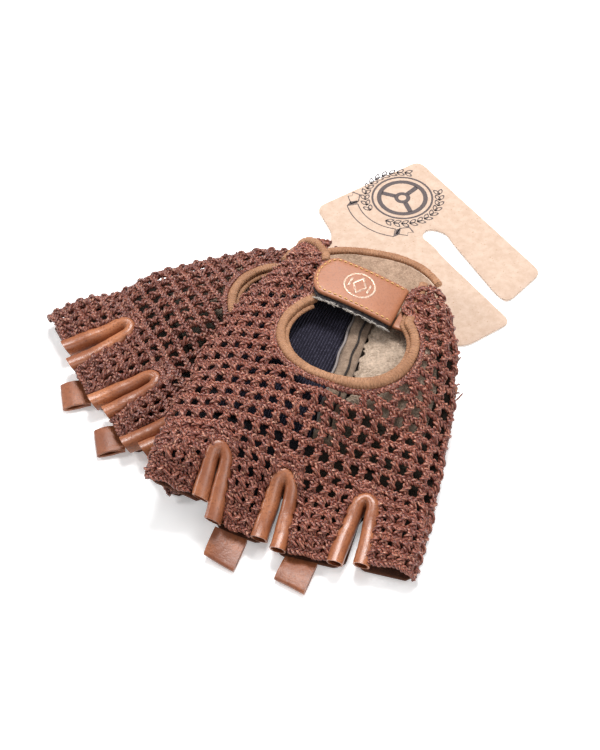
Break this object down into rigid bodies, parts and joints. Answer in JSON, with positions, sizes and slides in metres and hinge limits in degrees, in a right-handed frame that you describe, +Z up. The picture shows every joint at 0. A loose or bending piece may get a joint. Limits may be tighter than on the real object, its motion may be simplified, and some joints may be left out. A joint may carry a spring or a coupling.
{
  "type": "fingerless driving gloves",
  "caption": "Pair of fingerless driving gloves with crochet backs, leather palms and strap tabs, stacked on their kraft hang card.",
  "frame": {"origin": "middle of the bounding box, at the level everything rests on", "axes": "+Z up off the table through the gloves' thin way, -Y towards the right glove's fingertips, +X towards the right glove's index side"},
  "size_m": [0.1876, 0.2168, 0.0336],
  "materials": {
    "leather_tan": "smooth semi-gloss sheepskin",
    "crochet_brown": "matt marled cotton crochet",
    "suede_beige": "rough flesh side",
    "navy_rib": "matt ribbed tape",
    "tape_black": "fuzzy hook and loop tape",
    "kraft_card": "uncoated kraft board"
  },
  "bodies": {
    "left_glove": {"left_palm_panel": "leather_tan", "left_crochet_back": "crochet_brown", "left_fourchette_little_ring": "leather_tan", "left_fourchette_ring_middle": "leather_tan", "left_fourchette_middle_index": "leather_tan", "left_thumb_stall": "leather_tan", "left_wrist_binding": "leather_tan", "left_keyhole_binding": "leather_tan", "left_wrist_tab": "leather_tan", "left_tab_hook_patch": "tape_black", "left_tab_anchor": "leather_tan", "left_loop_strip": "tape_black", "left_lining_patch": "navy_rib", "left_seam_strip": "suede_beige", "left_suede_patch": "suede_beige"},
    "left_loop_ring": {"left_pull_loop_ring": "leather_tan"},
    "left_loop_middle": {"left_pull_loop_middle": "leather_tan"},
    "right_glove": {"right_palm_panel": "leather_tan", "right_crochet_back": "crochet_brown", "right_fourchette_little_ring": "leather_tan", "right_fourchette_ring_middle": "leather_tan", "right_fourchette_middle_index": "leather_tan", "right_thumb_stall": "leather_tan", "right_wrist_binding": "leather_tan", "right_keyhole_binding": "leather_tan", "right_tab_anchor": "leather_tan", "right_loop_strip": "tape_black", "right_lining_patch": "navy_rib", "right_seam_strip": "suede_beige", "right_suede_patch": "suede_beige"},
    "right_tab": {"right_wrist_tab": "leather_tan", "right_tab_hook_patch": "tape_black"},
    "right_loop_ring": {"right_pull_loop_ring": "leather_tan"},
    "right_loop_middle": {"right_pull_loop_middle": "leather_tan"},
    "card": {"hang_card": "kraft_card"}
  },
  "joints": [
    {"name": "right_glove_lift", "type": "slide", "parent": "left_glove", "child": "right_glove", "axis": [0, 0, 1], "range_m": [0, 0.09]},
    {"name": "right_tab_open", "type": "hinge", "parent": "right_glove", "child": "right_tab", "pos_m": [0.03801, 0.0013, 0.02667], "axis": [0.3955, 0.9185, 0], "range_deg": [0, 95]},
    {"name": "right_ring_loop_flap", "type": "hinge", "parent": "right_glove", "child": "right_loop_ring", "pos_m": [-0.02247, -0.08611, 0.0032], "axis": [-0.9613, 0.2756, 0], "range_deg": [0, 75]},
    {"name": "right_middle_loop_flap", "type": "hinge", "parent": "right_glove", "child": "right_loop_middle", "pos_m": [0.00164, -0.09562, 0.00125], "axis": [-0.9613, 0.2756, 0], "range_deg": [0, 75]},
    {"name": "left_ring_loop_flap", "type": "hinge", "parent": "left_glove", "child": "left_loop_ring", "pos_m": [-0.0645, -0.0405, 0.00125], "axis": [-0.4462, 0.8949, 0], "range_deg": [0, 75]},
    {"name": "left_middle_loop_flap", "type": "hinge", "parent": "left_glove", "child": "left_loop_middle", "pos_m": [-0.07825, -0.01853, 0.00125], "axis": [-0.4462, 0.8949, 0], "range_deg": [0, 75]},
    {"name": "card_pull_out", "type": "slide", "parent": "left_glove", "child": "card", "axis": [0.6, 0.8, 0], "range_m": [0, 0.1]}
  ]
}
